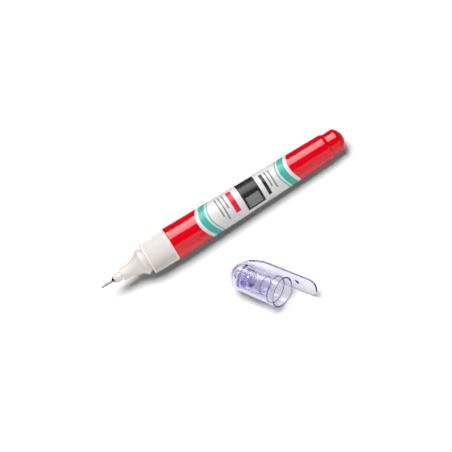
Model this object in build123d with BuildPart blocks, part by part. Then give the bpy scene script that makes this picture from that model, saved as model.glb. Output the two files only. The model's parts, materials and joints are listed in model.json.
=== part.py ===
from build123d import *
import os
from math import asin, atan, atan2, cos, degrees, hypot, radians, sin, sqrt, tan

# A squeeze-type correction pen lying on a table, with its clear cap taken off and laid beside it.
# Millimetres. +X runs along the pen from the needle to the tail, +Z is up, and the table is Z = 0.
# The origin is the middle of the set on the table. Lengths along the pen are counted from the
# barrel's front edge: positive towards the tail, negative towards the needle.

# Barrel
BARREL_LENGTH = 73.5
BARREL_FRONT_DIA = 14.0
BARREL_REAR_DIA = 11.04
BARREL_WALL = 1.1
BARREL_FRONT_ROUND = 0.4
SHOULDER_LENGTH = 1.7
SHOULDER_WALL = 1.5
POST_DIA = 9.9
POST_LENGTH = 7.1
POST_WALL = 1.2
POST_ROUND = 1.5
POST_CROWN = 2.5

# Label film, let into the barrel so that it lies flush, with arched ends
LABEL_START = 12.8
LABEL_END = 55.1
LABEL_THICKNESS = 0.15
LABEL_GAP = 0.05
LABEL_ARCH = 3.4
LABEL_TURN = 30.0

# Grip collar with fine straight ribs
COLLAR_LENGTH = 11.3
COLLAR_FRONT_DIA = 13.1
COLLAR_REAR_DIA = 13.7
COLLAR_ROUND = 0.25
RIB_COUNT = 66
RIB_GROOVE_DEPTH = 0.18
RIB_GROOVE_WIDTH = 0.38
RIB_FRONT_MARGIN = 0.7
RIB_REAR_MARGIN = 0.8

# Nose cone
NOSE_BODY_DIA = 10.9
SPIGOT_START = 0.4
SPIGOT_LENGTH = 7.6
CAP_GROOVE_WIDTH = 1.0
CAP_GROOVE_DIA = 9.9
FLANGE_WIDTH = 1.7
FLANGE_DIA = 10.9
FLANGE_CHAMFER = 0.3
CONE_REAR_DIA = 10.0
CONE_LENGTH = 6.4
NOSE_FRONT_DIA = 5.4
NOSE_FRONT_LENGTH = 2.7
NOSE_FRONT_ROUND = 0.35
NOSE_BORE_DIA = 8.0
NOSE_FUNNEL_DIA = 6.4
NOSE_FUNNEL_LENGTH = 4.0
NOSE_CHAMBER_DIA = 3.6
NOSE_CHAMBER_LENGTH = 1.6

# Tip holder and needle
HOLDER_DIA = 3.6
HOLDER_LENGTH = 2.4
HOLDER_TAPER_LENGTH = 0.7
HOLDER_FACE_DIA = 2.7
HOLDER_SPIGOT_DIA = 3.0
HOLDER_BORE_DIA = 1.5
FUNNEL_DIA = 2.6
FUNNEL_RIM = 0.3
FUNNEL_LENGTH = 1.25
FUNNEL_FRONT_DIA = 1.3
NEEDLE_DIA = 1.04
NEEDLE_LENGTH = 4.4
NEEDLE_ROUND = 0.1
NEEDLE_BORE_LENGTH = 6.0
SHANK_LENGTH = 5.0
SHANK_BORE_DIA = 0.9

# Valve pin, its spring and the spring's seat
PIN_DIA = 0.5
PIN_CLEARANCE = 0.06
PIN_PROUD = 0.5
VALVE_GAP = 0.05
VALVE_HEAD_DIA = 2.4
VALVE_HEAD_LENGTH = 1.0
STEM_DIA = 1.0
STEM_CLEARANCE = 0.05
STEM_PROUD = 1.2
SEAT_THICKNESS = 1.2
FLOW_HOLE_COUNT = 4
FLOW_HOLE_DIA = 1.5
FLOW_CIRCLE_DIA = 5.0
SPRING_DIA = 2.1
SPRING_WIRE_DIA = 0.26
SPRING_TURNS = 5
SPRING_END_GAP = 0.05

# Mixing ball, lying on the bore's lowest line
BALL_DIA = 5.0
BALL_GAP = 0.1
BALL_PLACE = 58.0

# Cap: lengths along it are counted back from its mouth
CAP_MOUTH_DIA = 12.4
CAP_DOME_DIA = 11.6
CAP_DOME_START = 18.0
CAP_DOME_DEPTH = 5.9
CAP_WALL = 1.0
CAP_RIM_ROUND = 0.2
CAP_SEAT_CLEARANCE = 0.1
CAP_SEAT_LENGTH = 3.2
CAP_LEAD_IN = 0.25
POST_CLEARANCE = 0.1
POST_BORE_LENGTH = 7.4
INNER_CAP_FRONT = 7.8
INNER_CAP_BORE_DIA = 6.2
INNER_CAP_BORE_LENGTH = 6.2
INNER_CAP_NECK_LENGTH = 1.6
INNER_CAP_WALL = 0.8
INNER_CAP_FLANGE_WIDTH = 1.2
POCKET_DIA = 2.2
POCKET_WALL = 0.7
POCKET_ROOM = 0.4

# Clip on the cap
CLIP_WIDTH = 7.4
CLIP_THICKNESS = 0.9
CLIP_GAP = 0.9
CLIP_OVERHANG = 10.5
CLIP_RAMP_START = 22.5
CLIP_RAMP_END = 11.4
CLIP_END_ROUND = 3.0
CLIP_TABLE_GAP = 0.1
NUB_PLACE = 1.6
NUB_DIA = 2.2
NUB_HEIGHT = 0.45

# Gap between pieces that are pressed together
PRESS_GAP = 0.02

# Where the pen's axis and the middle of the cap's mouth lie, and the cap's turn from the pen
PEN_Y = 23.72
CAP_X = 1.08
CAP_Y = -24.44
CAP_TURN = 62.0

# Stations along the pen
flange_rear = -COLLAR_LENGTH - CAP_GROOVE_WIDTH
flange_front = flange_rear - FLANGE_WIDTH
cone_front = flange_front - CONE_LENGTH
nose_front = cone_front - NOSE_FRONT_LENGTH
holder_front = nose_front - HOLDER_LENGTH - HOLDER_TAPER_LENGTH
funnel_front = holder_front - FUNNEL_LENGTH
needle_front = funnel_front - NEEDLE_LENGTH
pin_front = needle_front - PIN_PROUD
seat_front = flange_front
chamber_rear = seat_front - NOSE_FUNNEL_LENGTH
holder_rear = chamber_rear - NOSE_CHAMBER_LENGTH
head_front = holder_rear + VALVE_GAP
head_rear = head_front + VALVE_HEAD_LENGTH
seat_rear = seat_front + SEAT_THICKNESS
spigot_rear = SPIGOT_START + SPIGOT_LENGTH
tail_end = BARREL_LENGTH + POST_LENGTH

# The pen rests on the barrel's lowest line, so its axis dips towards the tail by the taper
taper = atan((BARREL_FRONT_DIA - BARREL_REAR_DIA) / 2 / BARREL_LENGTH)
pen_x = -(pin_front + tail_end) / 2 * cos(taper)
pen_origin = Vector(pen_x, PEN_Y, BARREL_FRONT_DIA / 2 * cos(taper))
pen_dir = Vector(cos(taper), 0, -sin(taper))
pen_side = Plane(origin=pen_origin, x_dir=pen_dir, z_dir=(0, -1, 0))
pen_cross = Plane(origin=pen_origin, x_dir=pen_side.y_dir, z_dir=pen_dir)
pen_axis = Axis(pen_origin, pen_dir)

# The cap rests on its own lowest line, so its axis rises towards the mouth by the draft
draft = atan((CAP_MOUTH_DIA - CAP_DOME_DIA) / 2 / CAP_DOME_START)
turn = radians(CAP_TURN)
cap_origin = Vector(CAP_X, CAP_Y, CAP_MOUTH_DIA / 2 * cos(draft))
cap_dir = Vector(cos(draft) * cos(turn), -cos(draft) * sin(turn), sin(draft))
cap_upright = Plane(origin=cap_origin, x_dir=cap_dir, z_dir=(-sin(turn), -cos(turn), 0))
cap_axis = Axis(cap_origin, cap_dir)


def barrel_r(x):
    """Outer radius of the tapered barrel at a length along the pen"""
    return BARREL_FRONT_DIA / 2 - x * tan(taper)


def bore_r(x):
    """Radius of the barrel's bore at a length along the pen"""
    return barrel_r(x) - BARREL_WALL / cos(taper)


def cap_r(back):
    """Outer radius of the cap's drafted wall at a length back from the mouth"""
    return CAP_MOUTH_DIA / 2 - back * tan(draft)


def turned(plane, angle):
    """The same plane turned about its own X direction"""
    spin = Axis((0, 0, 0), plane.x_dir)
    return Plane(origin=plane.origin, x_dir=plane.x_dir, z_dir=plane.z_dir.rotate(spin, angle))


def corner(profile, x, y):
    """The corner of a profile nearest to a point"""
    return profile.vertices().sort_by_distance((x, y, 0))[0]


def label_sleeve(slack, depth):
    """The label's film, or with some slack all round the cutter for its recess"""
    half = BARREL_FRONT_DIA / 2
    first = LABEL_START - slack
    last = LABEL_END + slack
    last_side = last + LABEL_ARCH
    with BuildPart() as sleeve:
        with BuildSketch(pen_side):
            with BuildLine():
                Polyline(
                    (first, barrel_r(first) - depth),
                    (last_side, barrel_r(last_side) - depth),
                    (last_side, barrel_r(last_side) + slack),
                    (first, barrel_r(first) + slack),
                    close=True,
                )
            make_face()
        revolve(axis=pen_axis)
        with BuildSketch(turned(pen_side, LABEL_TURN - 90)):
            with BuildLine():
                front = ThreePointArc((first + LABEL_ARCH, -half), (first, 0), (first + LABEL_ARCH, half))
                rear = ThreePointArc((last_side, -half), (last, 0), (last_side, half))
                Line(front @ 0, rear @ 0)
                Line(front @ 1, rear @ 1)
            make_face()
        extrude(amount=BARREL_FRONT_DIA, both=True, mode=Mode.INTERSECT)
    return sleeve.part


# Label film
label_film = label_sleeve(0, LABEL_THICKNESS)
label_recess = label_sleeve(LABEL_GAP, LABEL_THICKNESS + LABEL_GAP)
with BuildPart() as label:
    add(label_film)
label.part.label = "label"

# Barrel: tapered tube, rounded shoulder and closed tail post with a crowned end
post_r = POST_DIA / 2
post_core_r = post_r - POST_WALL
post_core_end = tail_end - POST_CROWN
shoulder_start = BARREL_LENGTH - SHOULDER_LENGTH
shoulder_height = barrel_r(shoulder_start) - post_r
bore_end = BARREL_LENGTH - SHOULDER_WALL
with BuildPart() as barrel:
    with BuildSketch(pen_side) as barrel_profile:
        with BuildLine():
            Polyline((0, bore_r(0)), (0, barrel_r(0)), (shoulder_start, barrel_r(shoulder_start)))
            EllipticalCenterArc(
                (shoulder_start, post_r), SHOULDER_LENGTH, shoulder_height, start_angle=0, arc_size=90
            )
            Line((BARREL_LENGTH, post_r), (tail_end - POST_CROWN, post_r))
            TangentArc((tail_end, 0), (tail_end - POST_CROWN, post_r), tangent=(0, 1))
            Polyline(
                (tail_end, 0),
                (post_core_end, 0),
                (post_core_end, post_core_r),
                (bore_end, post_core_r),
                (bore_end, bore_r(bore_end)),
                (0, bore_r(0)),
            )
        make_face()
        fillet(corner(barrel_profile, 0, barrel_r(0)), BARREL_FRONT_ROUND)
        fillet(corner(barrel_profile, tail_end - POST_CROWN, post_r), POST_ROUND)
    revolve(axis=pen_axis)
    add(label_recess, mode=Mode.SUBTRACT)
barrel.part.label = "barrel"

# One groove between two ribs of the collar, about the Z axis
collar_slope = atan((COLLAR_REAR_DIA - COLLAR_FRONT_DIA) / 2 / COLLAR_LENGTH)
rib_start = -COLLAR_LENGTH + RIB_FRONT_MARGIN
rib_length = (COLLAR_LENGTH - RIB_FRONT_MARGIN - RIB_REAR_MARGIN) / cos(collar_slope)
rib_start_r = COLLAR_REAR_DIA / 2 + rib_start * tan(collar_slope)
groove_plane = Plane(
    origin=(rib_start_r, 0, rib_start),
    x_dir=(cos(collar_slope), 0, -sin(collar_slope)),
    z_dir=(sin(collar_slope), 0, cos(collar_slope)),
)
with BuildPart() as rib_groove:
    with BuildSketch(groove_plane):
        with BuildLine():
            Polyline(
                (-RIB_GROOVE_DEPTH, 0),
                (RIB_GROOVE_DEPTH, -RIB_GROOVE_WIDTH),
                (RIB_GROOVE_DEPTH, RIB_GROOVE_WIDTH),
                close=True,
            )
        make_face()
    extrude(amount=rib_length)

# Grip collar: a ring between the barrel's front edge and the cap groove
body_r = NOSE_BODY_DIA / 2
with BuildPart(pen_cross) as grip_collar:
    with BuildSketch(pen_side) as collar_profile:
        with BuildLine():
            Polyline(
                (-COLLAR_LENGTH, body_r + PRESS_GAP),
                (-COLLAR_LENGTH, COLLAR_FRONT_DIA / 2),
                (-PRESS_GAP, COLLAR_REAR_DIA / 2),
                (-PRESS_GAP, body_r + PRESS_GAP),
                close=True,
            )
        make_face()
        fillet(corner(collar_profile, -COLLAR_LENGTH, COLLAR_FRONT_DIA / 2), COLLAR_ROUND)
    revolve(axis=pen_axis)
    with PolarLocations(0, RIB_COUNT):
        add(rib_groove.part, mode=Mode.SUBTRACT)
grip_collar.part.label = "grip_collar"

# Nose cone: spigot in the barrel, body in the collar, cap flange and concave cone
flange_r = FLANGE_DIA / 2
nose_front_r = NOSE_FRONT_DIA / 2
holder_seat_r = HOLDER_SPIGOT_DIA / 2 + PRESS_GAP
with BuildPart() as nose_cone:
    with BuildSketch(pen_side) as nose_profile:
        with BuildLine():
            Polyline(
                (spigot_rear, NOSE_BORE_DIA / 2),
                (spigot_rear, bore_r(spigot_rear) - PRESS_GAP),
                (SPIGOT_START, bore_r(SPIGOT_START) - PRESS_GAP),
                (SPIGOT_START, body_r),
                (-COLLAR_LENGTH, body_r),
                (-COLLAR_LENGTH, CAP_GROOVE_DIA / 2),
                (flange_rear, CAP_GROOVE_DIA / 2),
                (flange_rear, flange_r),
                (flange_front, flange_r),
                (flange_front, CONE_REAR_DIA / 2),
            )
            TangentArc((cone_front, nose_front_r), (flange_front, CONE_REAR_DIA / 2), tangent=(1, 0))
            Polyline(
                (cone_front, nose_front_r),
                (nose_front, nose_front_r),
                (nose_front, holder_seat_r),
                (holder_rear, holder_seat_r),
                (holder_rear, NOSE_CHAMBER_DIA / 2),
                (chamber_rear, NOSE_CHAMBER_DIA / 2),
                (seat_front, NOSE_FUNNEL_DIA / 2),
                (seat_front, NOSE_BORE_DIA / 2),
                (spigot_rear, NOSE_BORE_DIA / 2),
            )
        make_face()
        chamfer(corner(nose_profile, flange_front, flange_r), FLANGE_CHAMFER)
        fillet(corner(nose_profile, nose_front, nose_front_r), NOSE_FRONT_ROUND)
    revolve(axis=pen_axis)
nose_cone.part.label = "nose_cone"

# Tip holder: stepped ring pressed into the front of the nose
holder_r = HOLDER_DIA / 2
holder_bore_r = HOLDER_BORE_DIA / 2
with BuildPart() as tip_holder:
    with BuildSketch(pen_side):
        with BuildLine():
            Polyline(
                (holder_rear, holder_bore_r),
                (holder_rear, HOLDER_SPIGOT_DIA / 2),
                (nose_front - PRESS_GAP, HOLDER_SPIGOT_DIA / 2),
                (nose_front - PRESS_GAP, holder_r),
                (holder_front + HOLDER_TAPER_LENGTH, holder_r),
                (holder_front, HOLDER_FACE_DIA / 2),
                (holder_front, holder_bore_r),
                close=True,
            )
        make_face()
    revolve(axis=pen_axis)
tip_holder.part.label = "tip_holder"

# Needle tip: shank in the holder, funnel against its face and fine tube
shank_rear = holder_front + SHANK_LENGTH
shank_r = holder_bore_r - PRESS_GAP
needle_r = NEEDLE_DIA / 2
needle_bore_r = PIN_DIA / 2 + PIN_CLEARANCE
needle_bore_rear = needle_front + NEEDLE_BORE_LENGTH
funnel_rear = holder_front - PRESS_GAP
with BuildPart() as needle_tip:
    with BuildSketch(pen_side) as needle_profile:
        with BuildLine():
            Polyline(
                (shank_rear, SHANK_BORE_DIA / 2),
                (shank_rear, shank_r),
                (funnel_rear, shank_r),
                (funnel_rear, FUNNEL_DIA / 2),
                (funnel_rear - FUNNEL_RIM, FUNNEL_DIA / 2),
                (funnel_front, FUNNEL_FRONT_DIA / 2),
                (funnel_front, needle_r),
                (needle_front, needle_r),
                (needle_front, needle_bore_r),
                (needle_bore_rear, needle_bore_r),
                (needle_bore_rear, SHANK_BORE_DIA / 2),
                close=True,
            )
        make_face()
        fillet(corner(needle_profile, needle_front, needle_r), NEEDLE_ROUND)
    revolve(axis=pen_axis)
needle_tip.part.label = "needle_tip"

# Valve pin: fine wire through the needle, valve head behind the holder and guide stem
pin_r = PIN_DIA / 2
stem_r = STEM_DIA / 2
stem_rear = seat_rear + STEM_PROUD
with BuildPart() as valve_pin:
    with BuildSketch(pen_side):
        with BuildLine():
            CenterArc((pin_front + pin_r, 0), pin_r, 90, 90)
            Polyline(
                (pin_front + pin_r, pin_r),
                (head_front, pin_r),
                (head_front, VALVE_HEAD_DIA / 2),
                (head_rear, VALVE_HEAD_DIA / 2),
                (head_rear, stem_r),
                (stem_rear, stem_r),
                (stem_rear, 0),
                (pin_front, 0),
            )
        make_face()
    revolve(axis=pen_axis)
valve_pin.part.label = "valve_pin"

# Spring seat: guide disc with flow holes, on the step of the nose's bore
with BuildPart() as spring_seat:
    with BuildSketch(pen_cross.offset(seat_front + PRESS_GAP)):
        Circle(NOSE_BORE_DIA / 2 - PRESS_GAP)
        Circle(stem_r + STEM_CLEARANCE, mode=Mode.SUBTRACT)
        with PolarLocations(FLOW_CIRCLE_DIA / 2, FLOW_HOLE_COUNT):
            Circle(FLOW_HOLE_DIA / 2, mode=Mode.SUBTRACT)
    extrude(amount=SEAT_THICKNESS - PRESS_GAP)
spring_seat.part.label = "spring_seat"

# Valve spring: round wire wound from the valve head back to its seat
spring_front = head_rear + SPRING_END_GAP + SPRING_WIRE_DIA / 2
spring_length = seat_front - SPRING_END_GAP - SPRING_WIRE_DIA / 2 - spring_front
spring_pitch = spring_length / SPRING_TURNS
with BuildPart() as valve_spring:
    with BuildLine() as spring_path:
        Helix(
            spring_pitch,
            spring_length,
            SPRING_DIA / 2,
            center=pen_origin + pen_dir * spring_front,
            direction=pen_dir,
        )
    with BuildSketch(Plane(origin=spring_path.line @ 0, z_dir=spring_path.line % 0)):
        Circle(SPRING_WIRE_DIA / 2)
    sweep()
valve_spring.part.label = "valve_spring"
print("valve spring, gap between turns", round(spring_pitch - SPRING_WIRE_DIA, 2), "mm")

# Mixing ball
ball_height = BARREL_WALL + BALL_GAP + BALL_DIA / 2
with BuildPart(Plane((pen_x + BALL_PLACE, PEN_Y, ball_height))) as mixing_ball:
    Sphere(BALL_DIA / 2)
mixing_ball.part.label = "mixing_ball"

# The cap has rolled over until its clip hangs to the side and all but meets the table
clip_inner = CAP_MOUTH_DIA / 2 + CLIP_GAP
clip_outer = clip_inner + CLIP_THICKNESS
clip_drop = degrees(
    asin((cap_r(CLIP_RAMP_END) - CLIP_TABLE_GAP) / hypot(clip_outer, CLIP_WIDTH / 2))
    - atan2(CLIP_WIDTH / 2, clip_outer)
)
cap_side = turned(cap_upright, -90 - clip_drop)

# Clip: a curved ramp off the cap's dome, then a flat blade along the cap and past its mouth, with
# a low round nub on the blade's inner face
dome_r = CAP_DOME_DIA / 2
mid_wall_r = dome_r - CAP_WALL / 2
mid_wall_depth = CAP_DOME_DEPTH - CAP_WALL / 2
ramp_root_r = mid_wall_r * sqrt(1 - ((CLIP_RAMP_START - CAP_DOME_START) / mid_wall_depth) ** 2)
ramp_rise = clip_outer - ramp_root_r
ramp_arc_r = ((CLIP_RAMP_START - CLIP_RAMP_END) ** 2 + ramp_rise**2) / (2 * ramp_rise)
ramp_centre_r = clip_outer - ramp_arc_r
inner_arc_r = ramp_arc_r - CLIP_THICKNESS
inner_root = -CLIP_RAMP_END - sqrt(inner_arc_r**2 - (mid_wall_r - ramp_centre_r) ** 2)
nub_top = clip_inner - NUB_HEIGHT
nub_root = clip_inner + CLIP_THICKNESS / 2
with BuildPart() as clip:
    with BuildSketch(cap_side):
        with BuildLine():
            TangentArc((-CLIP_RAMP_END, clip_outer), (-CLIP_RAMP_START, ramp_root_r), tangent=(-1, 0))
            TangentArc((-CLIP_RAMP_END, clip_inner), (inner_root, mid_wall_r), tangent=(-1, 0))
            Line((-CLIP_RAMP_START, ramp_root_r), (inner_root, mid_wall_r))
            Polyline(
                (-CLIP_RAMP_END, clip_outer),
                (CLIP_OVERHANG, clip_outer),
                (CLIP_OVERHANG, clip_inner),
                (-CLIP_RAMP_END, clip_inner),
            )
        make_face()
    extrude(amount=CLIP_WIDTH / 2, both=True)
    with BuildSketch(turned(cap_side, -90)):
        with Locations(((CLIP_OVERHANG - CLIP_RAMP_START) / 2, 0)):
            RectangleRounded(CLIP_OVERHANG + CLIP_RAMP_START, CLIP_WIDTH, CLIP_END_ROUND)
    extrude(amount=CAP_MOUTH_DIA, both=True, mode=Mode.INTERSECT)
    with BuildSketch(cap_side):
        with BuildLine():
            TangentArc((NUB_PLACE, nub_top), (NUB_PLACE + NUB_DIA / 2, clip_inner), tangent=(1, 0))
            Polyline(
                (NUB_PLACE + NUB_DIA / 2, clip_inner),
                (NUB_PLACE + NUB_DIA / 2, nub_root),
                (NUB_PLACE, nub_root),
                (NUB_PLACE, nub_top),
            )
        make_face()
    revolve(axis=Axis(cap_side.from_local_coords(Vector(NUB_PLACE, 0, 0)), cap_side.y_dir))

# Cap shell: drafted wall and dome, with a seat for the nose's flange and a bore for the tail post
cap_seat_r = flange_r + CAP_SEAT_CLEARANCE
post_bore_r = post_r + POST_CLEARANCE
core_dome_r = dome_r - CAP_WALL
core_dome_depth = CAP_DOME_DEPTH - CAP_WALL
core_slope = (post_bore_r - core_dome_r) / (CAP_DOME_START - POST_BORE_LENGTH)


def core_r(back):
    """Radius of the cap's hollow between the post bore and the dome"""
    return core_dome_r + (CAP_DOME_START - back) * core_slope


with BuildPart() as cap_shell:
    with BuildSketch(cap_side) as cap_profile:
        with BuildLine():
            Polyline((0, 0), (0, CAP_MOUTH_DIA / 2), (-CAP_DOME_START, dome_r))
            EllipticalCenterArc((-CAP_DOME_START, 0), CAP_DOME_DEPTH, dome_r, start_angle=90, arc_size=90)
            Line((-CAP_DOME_START - CAP_DOME_DEPTH, 0), (0, 0))
        make_face()
        fillet(corner(cap_profile, 0, CAP_MOUTH_DIA / 2), CAP_RIM_ROUND)
    revolve(axis=cap_axis)
    add(clip.part)
    with BuildSketch(cap_side):
        with BuildLine():
            Polyline(
                (0, 0),
                (0, cap_seat_r + CAP_LEAD_IN),
                (-CAP_LEAD_IN, cap_seat_r),
                (-CAP_SEAT_LENGTH, cap_seat_r),
                (-CAP_SEAT_LENGTH, post_bore_r),
                (-POST_BORE_LENGTH, post_bore_r),
                (-CAP_DOME_START, core_dome_r),
            )
            EllipticalCenterArc((-CAP_DOME_START, 0), core_dome_depth, core_dome_r, start_angle=90, arc_size=90)
            Line((-CAP_DOME_START - core_dome_depth, 0), (0, 0))
        make_face()
    revolve(axis=cap_axis, mode=Mode.SUBTRACT)
cap_shell.part.label = "cap_shell"

# Inner cap: tube over the nose's front with a pocket for the needle, flanged into the shell
inner_bore_r = INNER_CAP_BORE_DIA / 2
inner_tube_r = inner_bore_r + INNER_CAP_WALL
inner_bore_end = INNER_CAP_FRONT + INNER_CAP_BORE_LENGTH
pocket_r = POCKET_DIA / 2
pocket_end = -pin_front - COLLAR_LENGTH + POCKET_ROOM
inner_flange_front = CAP_DOME_START - INNER_CAP_FLANGE_WIDTH
with BuildPart() as inner_cap:
    with BuildSketch(cap_side):
        with BuildLine():
            Polyline(
                (-INNER_CAP_FRONT, inner_bore_r),
                (-INNER_CAP_FRONT, inner_tube_r),
                (-inner_flange_front, inner_tube_r),
                (-inner_flange_front, core_r(inner_flange_front) - PRESS_GAP),
                (-CAP_DOME_START, core_dome_r - PRESS_GAP),
                (-CAP_DOME_START, pocket_r + POCKET_WALL),
                (-pocket_end - POCKET_WALL, pocket_r + POCKET_WALL),
                (-pocket_end - POCKET_WALL, 0),
                (-pocket_end, 0),
                (-pocket_end, pocket_r),
                (-inner_bore_end - INNER_CAP_NECK_LENGTH, pocket_r),
                (-inner_bore_end, inner_bore_r),
                close=True,
            )
        make_face()
    revolve(axis=cap_axis)
inner_cap.part.label = "inner_cap"

# One file for each piece
pieces = [
    barrel,
    label,
    grip_collar,
    nose_cone,
    tip_holder,
    needle_tip,
    valve_pin,
    valve_spring,
    spring_seat,
    mixing_ball,
    cap_shell,
    inner_cap,
]
os.makedirs("parts", exist_ok=True)
for piece in pieces:
    export_step(piece.part, f"parts/{piece.part.label}.step")
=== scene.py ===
import json
from math import cos, radians, sin

import bpy
from mathutils import Matrix, Vector


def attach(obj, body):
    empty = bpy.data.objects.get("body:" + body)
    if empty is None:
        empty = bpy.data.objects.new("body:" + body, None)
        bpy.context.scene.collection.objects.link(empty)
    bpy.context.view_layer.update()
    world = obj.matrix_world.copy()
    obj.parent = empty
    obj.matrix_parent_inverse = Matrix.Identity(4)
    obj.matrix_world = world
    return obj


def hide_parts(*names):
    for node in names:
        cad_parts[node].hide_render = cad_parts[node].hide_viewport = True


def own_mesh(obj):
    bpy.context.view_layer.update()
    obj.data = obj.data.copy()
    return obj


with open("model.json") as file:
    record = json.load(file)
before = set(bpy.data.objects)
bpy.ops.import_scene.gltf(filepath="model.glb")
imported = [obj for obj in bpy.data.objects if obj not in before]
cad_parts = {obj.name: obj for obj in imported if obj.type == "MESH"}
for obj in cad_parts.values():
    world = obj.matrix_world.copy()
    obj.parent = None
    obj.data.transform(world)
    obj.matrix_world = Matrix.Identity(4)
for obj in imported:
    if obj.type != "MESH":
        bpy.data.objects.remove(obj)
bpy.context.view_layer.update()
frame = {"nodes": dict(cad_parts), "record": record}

# A correction pen and its clear cap on a white table, in metres and in the frame of the solids.
# Print and grooves on the pen are placed in millimetres from the barrel's front edge, as in part.py.

scene = bpy.context.scene
nodes = frame["nodes"]
mounts = {m["name"]: m for m in frame["record"]["mounts"]}

# The pen's own directions, from the mount on its tail: along it, out of the label's middle and across that
MM = 0.001
BARREL_LENGTH = 73.5
LABEL_TURN = radians(30.0)
tail = mounts["tail_post"]
pen_dir = Vector(tail["axis"]).normalized()
pen_origin = Vector(tail["pos_m"]) - pen_dir * (BARREL_LENGTH + tail["dims"]["length_mm"] / 2) * MM
label_out = Vector((0, -sin(LABEL_TURN), cos(LABEL_TURN)))
label_out = (label_out - pen_dir * label_out.dot(pen_dir)).normalized()
label_across = pen_dir.cross(label_out)

# Most of a noise texture lies between these two values
NOISE_LOW = 0.35
NOISE_HIGH = 0.65


def node(tree, kind, inputs=None, **settings):
    """A new shader node: settings are its own, and inputs are values or the sockets that feed it"""
    made = tree.nodes.new(kind)
    for name, value in settings.items():
        setattr(made, name, value)
    for name, value in (inputs or {}).items():
        if isinstance(value, bpy.types.NodeSocket):
            tree.links.new(value, made.inputs[name])
        else:
            made.inputs[name].default_value = value
    return made


def work_out(tree, operation, *values):
    """One step of arithmetic"""
    return node(tree, "ShaderNodeMath", dict(enumerate(values)), operation=operation).outputs[0]


def mix(tree, share, first, second):
    """A blend of two colours"""
    made = node(tree, "ShaderNodeMix", data_type="RGBA")
    for name, value in (("Factor_Float", share), ("A_Color", first), ("B_Color", second)):
        socket = next(s for s in made.inputs if s.identifier == name)
        if isinstance(value, bpy.types.NodeSocket):
            tree.links.new(value, socket)
        else:
            socket.default_value = value
    return next(s for s in made.outputs if s.identifier == "Result_Color")


def mix_value(tree, share, first, second):
    """A blend of two numbers"""
    return node(tree, "ShaderNodeMix", {0: share, 2: first, 3: second}, data_type="FLOAT").outputs[0]


def ramp(tree, value, start, end):
    """How far a value has come from start to end, from 0 to 1"""
    return node(tree, "ShaderNodeMapRange", {"Value": value, 1: start, 2: end}).outputs[0]


def spread(tree, value, low, high):
    """Noise spread from low to high"""
    limits = {1: NOISE_LOW, 2: NOISE_HIGH, 3: low, 4: high}
    return node(tree, "ShaderNodeMapRange", {"Value": value, **limits}).outputs[0]


def place(tree):
    """Where a point is on the object, in metres"""
    return node(tree, "ShaderNodeTexCoord").outputs["Object"]


def along(tree, where, direction):
    """How far a point lies along a direction from the middle of the barrel's front edge, in millimetres"""
    from_origin = node(tree, "ShaderNodeVectorMath", {0: where, 1: pen_origin}, operation="SUBTRACT")
    inputs = {0: from_origin.outputs[0], 1: direction / MM}
    return node(tree, "ShaderNodeVectorMath", inputs, operation="DOT_PRODUCT").outputs["Value"]


def noise(tree, where, spots, detail=3):
    """Noise with so many spots to the unit of length"""
    inputs = {"Vector": where, "Scale": spots, "Detail": detail}
    return node(tree, "ShaderNodeTexNoise", inputs).outputs[0]


def drift(tree, cloud, light, deep):
    """A colour that drifts from a light tone to a deep one over a noise"""
    return mix(tree, spread(tree, cloud, 0, 1), light, deep)


def material(name, **sockets):
    """A material with the shader's constant values set on its own sockets"""
    made = bpy.data.materials.new(name)
    made.use_nodes = True
    shader = made.node_tree.nodes["Principled BSDF"]
    for socket, value in sockets.items():
        shader.inputs[socket.replace("_", " ")].default_value = value
    return made, made.node_tree, shader


def paint(tree, shader, colour):
    """Gives the surface its colour"""
    tree.links.new(colour, shader.inputs["Base Color"])


def gloss(tree, shader, marks, low, high):
    """Roughness that drifts between two values over a noise"""
    tree.links.new(spread(tree, marks, low, high), shader.inputs["Roughness"])


def relief(tree, shader, height, depth):
    """Relief in the surface, with its depth in metres"""
    made = node(tree, "ShaderNodeBump", {"Height": height, "Distance": depth})
    tree.links.new(made.outputs[0], shader.inputs["Normal"])


def dress(slot, *pieces):
    """Gives CAD pieces their material"""
    for piece in pieces:
        nodes[piece].data.materials.clear()
        nodes[piece].data.materials.append(slot)


# Glossy red moulded plastic, with a faint mould texture and handling marks
RED_LIGHT = (0.76, 0.0008, 0.010, 1)
RED_DEEP = (0.71, 0.0005, 0.008, 1)
red, tree, shader = material("red_plastic", IOR=1.5)
where = place(tree)
paint(tree, shader, drift(tree, noise(tree, where, spots=140), RED_LIGHT, RED_DEEP))
gloss(tree, shader, noise(tree, where, spots=420, detail=5), low=0.07, high=0.13)
relief(tree, shader, noise(tree, where, spots=900, detail=2), depth=0.000004)
dress(red, "barrel")

# Grooves between the collar's ribs, in millimetres: painted shade darkens them from a fifth of their depth
# on
COLLAR_FRONT_R = 6.55
COLLAR_REAR_R = 6.85
COLLAR_LENGTH = 11.3
GROOVE_DEPTH = 0.18
SHADE_FROM = 0.2 * GROOVE_DEPTH
SHADE_FULL = 0.8 * GROOVE_DEPTH


def painted_groove_shade(tree, where):
    """How much painted shade a point gets from its depth in the collar's grooves, from 0 on a rib to 1 on a
    groove's floor
    """
    length = along(tree, where, pen_dir)
    sides = [along(tree, where, side) for side in (label_out, label_across)]
    squares = [work_out(tree, "MULTIPLY", side, side) for side in sides]
    radius = work_out(tree, "SQRT", work_out(tree, "ADD", *squares))
    slope = (COLLAR_REAR_R - COLLAR_FRONT_R) / COLLAR_LENGTH
    rib_top = work_out(tree, "MULTIPLY_ADD", length, slope, COLLAR_REAR_R)
    return ramp(tree, work_out(tree, "SUBTRACT", rib_top, radius), SHADE_FROM, SHADE_FULL)


def darker(tone, share):
    """A share of a tone's light"""
    return tuple(c * share for c in tone[:3]) + (1,)


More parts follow.
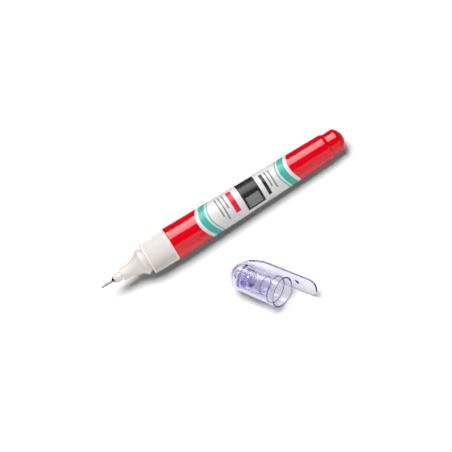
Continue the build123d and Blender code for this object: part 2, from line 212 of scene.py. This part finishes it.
# White satin plastic of the nose, and the slightly lighter one of the ribbed collar
NOSE_WHITE = (0.735, 0.685, 0.64, 1)
COLLAR_WHITE = (0.83, 0.78, 0.74, 1)
CLOUD_SHADE = 0.965
GROOVE_SHADE = 0.72
for name, pieces, tone, dull in (
    ("nose_plastic", ("nose_cone", "tip_holder", "spring_seat"), NOSE_WHITE, 0.36),
    ("collar_plastic", ("grip_collar",), COLLAR_WHITE, 0.40),
):
    white, tree, shader = material(name, IOR=1.47)
    where = place(tree)
    colour = drift(tree, noise(tree, where, spots=220, detail=4), tone, darker(tone, CLOUD_SHADE))
    if "grip_collar" in pieces:
        # Painted shade: the collar's grooves get a darker share of the tone
        colour = mix(tree, painted_groove_shade(tree, where), colour, darker(tone, GROOVE_SHADE))
    paint(tree, shader, colour)
    gloss(tree, shader, noise(tree, where, spots=700, detail=4), low=dull - 0.05, high=dull + 0.06)
    relief(tree, shader, noise(tree, where, spots=5200), depth=0.000006)
    dress(white, *pieces)

# Drawn and turned steel, with fine rings round the pen's axis, so many to the millimetre
STEEL_LIGHT = (0.42, 0.412, 0.405, 1)
STEEL_DEEP = (0.27, 0.265, 0.26, 1)
RINGS = 14
steel, tree, shader = material("steel", Metallic=1.0)
where = place(tree)
on_axis = node(tree, "ShaderNodeCombineXYZ", {0: along(tree, where, pen_dir)})
rings = noise(tree, on_axis.outputs[0], spots=RINGS)
paint(tree, shader, drift(tree, rings, STEEL_LIGHT, STEEL_DEEP))
gloss(tree, shader, noise(tree, where, spots=2500, detail=4), low=0.16, high=0.30)
relief(tree, shader, rings, depth=0.00001)
dress(steel, "needle_tip", "valve_pin", "valve_spring", "mixing_ball")

# Clear plastic of the cap, tinted violet all through, so that its edges look deeper than its walls
CLEAR_LIGHT = (0.985, 0.98, 0.995, 1)
CLEAR_DEEP = (0.97, 0.965, 0.99, 1)
VIOLET = (0.42, 0.37, 0.79, 1)
VIOLET_DENSITY = 150.0
SOFT_MIRROR = (0.5, 0.5, 0.5, 1)
clear, tree, shader = material("clear_plastic", IOR=1.49, Transmission_Weight=1.0, Specular_Tint=SOFT_MIRROR)
where = place(tree)
paint(tree, shader, drift(tree, noise(tree, where, spots=160), CLEAR_LIGHT, CLEAR_DEEP))
gloss(tree, shader, noise(tree, where, spots=500, detail=4), low=0.03, high=0.07)
relief(tree, shader, noise(tree, where, spots=300, detail=2), depth=0.000001)
tint = node(tree, "ShaderNodeVolumeAbsorption", {"Color": VIOLET, "Density": VIOLET_DENSITY})
tree.links.new(tint.outputs[0], tree.nodes["Material Output"].inputs["Volume"])
dress(clear, "cap_shell", "inner_cap")

# Label: white film printed with arched bands, a dark panel and plain bars, in millimetres.
# A band is given by its two ends along the pen, at the label's middle. The arch is the label's own.
# A bar is given by its two ends along the pen, its two ends round the barrel, and its ink.
PAPER_LIGHT = (0.745, 0.74, 0.725, 1)
PAPER_DEEP = (0.715, 0.71, 0.70, 1)
TEAL = (0.055, 0.44, 0.35, 1)
INK = (0.018, 0.018, 0.02, 1)
GREY = (0.20, 0.20, 0.205, 1)
RED = (0.70, 0.012, 0.03, 1)
BARREL_FRONT_R = 7.0
LABEL_MIDDLE_R = 6.3
LABEL_ARCH = 3.4
BANDS = ((14.3, 17.1), (17.9, 18.4), (49.5, 50.0), (50.8, 53.6))
BARS = (
    (23.0, 23.6, -5.5, 3.0, GREY),
    (24.6, 25.2, -5.5, 5.2, GREY),
    (26.2, 26.8, -5.5, 1.0, GREY),
    (28.2, 30.4, -5.5, 4.4, RED),
    (33.0, 41.0, -7.0, 7.0, INK),
    (34.0, 40.0, 1.2, 6.0, GREY),
    (43.0, 44.4, -4.5, 5.5, INK),
    (45.4, 46.0, -4.5, 3.0, GREY),
    (47.0, 47.6, -4.5, 4.5, GREY),
)
arch_r = (LABEL_ARCH**2 + BARREL_FRONT_R**2) / (2 * LABEL_ARCH)


def within(tree, value, low, high):
    """Where a value lies between two others"""
    return work_out(tree, "COMPARE", value, (low + high) / 2, (high - low) / 2)


label, tree, shader = material("label_film", IOR=1.38)
where = place(tree)
length = along(tree, where, pen_dir)
across = along(tree, where, label_across)
outward = along(tree, where, label_out)
rise = work_out(tree, "SUBTRACT", arch_r**2, work_out(tree, "MULTIPLY", across, across))
drop = work_out(tree, "SUBTRACT", arch_r, work_out(tree, "SQRT", rise))
arched = work_out(tree, "SUBTRACT", length, drop)
around = work_out(tree, "MULTIPLY", work_out(tree, "ARCTAN2", across, outward), LABEL_MIDDLE_R)
print_colour = drift(tree, noise(tree, where, spots=260), PAPER_LIGHT, PAPER_DEEP)
for low, high in BANDS:
    print_colour = mix(tree, within(tree, arched, low, high), print_colour, TEAL)
for first, last, start, end, ink in BARS:
    bar = work_out(tree, "MULTIPLY", within(tree, length, first, last), within(tree, around, start, end))
    print_colour = mix(tree, bar, print_colour, ink)
paint(tree, shader, print_colour)
gloss(tree, shader, noise(tree, where, spots=900, detail=4), low=0.24, high=0.34)
relief(tree, shader, noise(tree, where, spots=2200, detail=2), depth=0.000004)
dress(label, "label")

# The valve's spring shortens towards its seat as the pin is pressed in; here it is only copied, with its own
# mesh, onto the pen in place of the CAD one
coil = bpy.data.objects.new("coil_spring", nodes["valve_spring"].data.copy())
scene.collection.objects.link(coil)
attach(coil, "pen")
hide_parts("valve_spring")
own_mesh(coil)

# The pen throws no colour on the white floor
for piece in ("barrel", "label", "grip_collar", "nose_cone"):
    nodes[piece].visible_diffuse = False

# Floor: pale, with the object's shadow, turning to plain white further out.
# It lies just under the pen. Behind the pen and past its tail it is painted dark for gloss and bounced light
# only: painted shade in the pen's reflections and on its back side.
FLOOR_REACH = 0.7
FLOOR_DROP = 0.00002
DIM_BEHIND = (0.034, 0.050)
DIM_BESIDE = (0.060, 0.075)
WHITE_OUT = (0.10, 0.22)
FLOOR_LIGHT = (0.96, 0.96, 0.96, 1)
FLOOR_DEEP = (0.95, 0.95, 0.95, 1)
FLOOR_PAINTED_SHADE = (0.12, 0.12, 0.12, 1)
WHITE = (1, 1, 1, 1)
FLOOR_LIFT = 0.03
WHITE_THROUGH_CAP = 0.5
floor_mesh = bpy.data.meshes.new("floor")
corners = [(x * FLOOR_REACH, y * FLOOR_REACH, 0) for x, y in ((-1, -1), (1, -1), (1, 1), (-1, 1))]
floor_mesh.from_pydata(corners, [], [(0, 1, 2, 3)])
floor = bpy.data.objects.new("floor", floor_mesh)
floor.location.z = -FLOOR_DROP
scene.collection.objects.link(floor)
pale = bpy.data.materials.new("floor")
pale.use_nodes = True
tree = pale.node_tree
tree.nodes.clear()
where = place(tree)
radius = node(tree, "ShaderNodeVectorMath", {0: where}, operation="LENGTH").outputs["Value"]
ground_at = node(tree, "ShaderNodeSeparateXYZ", {0: where}).outputs
behind = ramp(tree, ground_at["Y"], *DIM_BEHIND)
beside = ramp(tree, ground_at["X"], *DIM_BESIDE)
far = ramp(tree, radius, *WHITE_OUT)
path = node(tree, "ShaderNodeLightPath").outputs
seen = path["Is Camera Ray"]
through = path["Is Transmission Ray"]
unseen = work_out(tree, "SUBTRACT", 1.0, work_out(tree, "MAXIMUM", seen, through))
# Painted shade: the floor turns dark behind and beside the pen, for gloss and bounced light only
dim = work_out(tree, "MULTIPLY", work_out(tree, "MAXIMUM", behind, beside), unseen)
tone = drift(tree, noise(tree, where, spots=60), FLOOR_LIGHT, FLOOR_DEEP)
surface = node(tree, "ShaderNodeBsdfDiffuse", {"Color": mix(tree, dim, tone, FLOOR_PAINTED_SHADE)})
lift_strength = work_out(tree, "MULTIPLY", seen, FLOOR_LIFT)
lift = node(tree, "ShaderNodeEmission", {"Color": WHITE, "Strength": lift_strength})
lit = node(tree, "ShaderNodeAddShader", {0: surface.outputs[0], 1: lift.outputs[0]})
plain = node(tree, "ShaderNodeEmission", {"Color": WHITE, "Strength": 1.0})
bare = work_out(tree, "MULTIPLY_ADD", through, WHITE_THROUGH_CAP, work_out(tree, "MULTIPLY", far, seen))
ground = node(tree, "ShaderNodeMixShader", {0: bare, 1: lit.outputs[0], 2: plain.outputs[0]})
node(tree, "ShaderNodeOutputMaterial", {"Surface": ground.outputs[0]})
floor_mesh.materials.append(pale)

# Studio: a white wall low in front and a dark room elsewhere; what the cap lets through is an even grey
WALL_FRONT = (-0.30, -0.60)
WALL_TOP = (0.52, 0.42)
ROOM_LIGHT = 0.03
ROOM_MIRRORED = 0.006
ROOM_THROUGH_CAP = 0.55
world = bpy.data.worlds.new("studio")
scene.world = world
world.use_nodes = True
tree = world.node_tree
tree.nodes.clear()
sky_at = node(tree, "ShaderNodeTexCoord").outputs["Generated"]
sky = node(tree, "ShaderNodeSeparateXYZ", {0: sky_at}).outputs
wall = work_out(tree, "MULTIPLY", ramp(tree, sky["Y"], *WALL_FRONT), ramp(tree, sky["Z"], *WALL_TOP))
path = node(tree, "ShaderNodeLightPath").outputs
fill = work_out(tree, "ADD", wall, ROOM_LIGHT)
mirrored = work_out(tree, "ADD", wall, ROOM_MIRRORED)
strength = mix_value(tree, path["Is Glossy Ray"], fill, mirrored)
strength = mix_value(tree, path["Is Transmission Ray"], strength, ROOM_THROUGH_CAP)
light = node(tree, "ShaderNodeBackground", {"Color": WHITE, "Strength": strength})
node(tree, "ShaderNodeOutputWorld", {"Surface": light.outputs[0]})

# Lamps: one lights the set from above, and the others only show as streaks in gloss and in the cap
LAMP_DISTANCE = 0.9


def soft_box(name, elevation, side, width, depth, power, in_gloss):
    """A soft box facing the set, moved sideways; elevation is in degrees, from the back over the top"""
    made = bpy.data.lights.new(name, "AREA")
    made.shape = "RECTANGLE"
    made.size = width
    made.size_y = depth
    made.energy = power
    box = bpy.data.objects.new(name, made)
    scene.collection.objects.link(box)
    toward = Vector((0, cos(radians(elevation)), sin(radians(elevation))))
    middle = toward * LAMP_DISTANCE + Vector((side, 0, 0))
    box.matrix_world = Matrix.LocRotScale(middle, toward.to_track_quat("Z", "X"), None)
    box.visible_camera = False
    box.visible_transmission = in_gloss
    box.visible_glossy = in_gloss
    box.visible_diffuse = not in_gloss
    return made


overhead = soft_box("overhead", 81, side=-0.05, width=0.64, depth=0.64, power=10.4, in_gloss=False)
overhead.cycles.use_multiple_importance_sampling = False
soft_box("back_low", 53, side=0.12, width=0.40, depth=0.36, power=4.2, in_gloss=True)
soft_box("back_high", 81.5, side=0.12, width=0.516, depth=0.36, power=3.6, in_gloss=True)
soft_box("back_side", 63, side=-0.24, width=0.98, depth=0.36, power=1.3, in_gloss=True)

# Camera: the photograph's view, with a long lens, rolled as the photograph is
IMAGE_WIDTH = 452
FOCAL_PIXELS = 1759.5
SENSOR_WIDTH = 36.0
NEAR_LIMIT = 0.01
CAMERA_DISTANCE = 0.7
CAMERA_TARGET = Vector((-0.001823, 0.02188, 0))
AZIMUTH = radians(-4.0)
ELEVATION = radians(52.05)
ROLL = radians(29.7)
camera = bpy.data.objects.new("camera", bpy.data.cameras.new("camera"))
scene.collection.objects.link(camera)
scene.camera = camera
camera.data.sensor_fit = "HORIZONTAL"
camera.data.sensor_width = SENSOR_WIDTH
camera.data.lens = FOCAL_PIXELS * SENSOR_WIDTH / IMAGE_WIDTH
camera.data.clip_start = NEAR_LIMIT
back = Vector((sin(AZIMUTH) * cos(ELEVATION), -cos(AZIMUTH) * cos(ELEVATION), sin(ELEVATION)))
right = Vector((cos(AZIMUTH), sin(AZIMUTH), 0))
up = back.cross(right)
rolled_right = right * cos(ROLL) - up * sin(ROLL)
rolled_up = right * sin(ROLL) + up * cos(ROLL)
facing = Matrix((rolled_right, rolled_up, back)).transposed()
camera.matrix_world = Matrix.Translation(CAMERA_TARGET + back * CAMERA_DISTANCE) @ facing.to_4x4()

# Light may pass the cap's walls many times, so that its edges show their tint and not black
LIGHT_BOUNCES = 40
scene.cycles.max_bounces = LIGHT_BOUNCES
scene.cycles.transmission_bounces = LIGHT_BOUNCES
scene.cycles.glossy_bounces = LIGHT_BOUNCES

scene.view_settings.view_transform = "Standard"
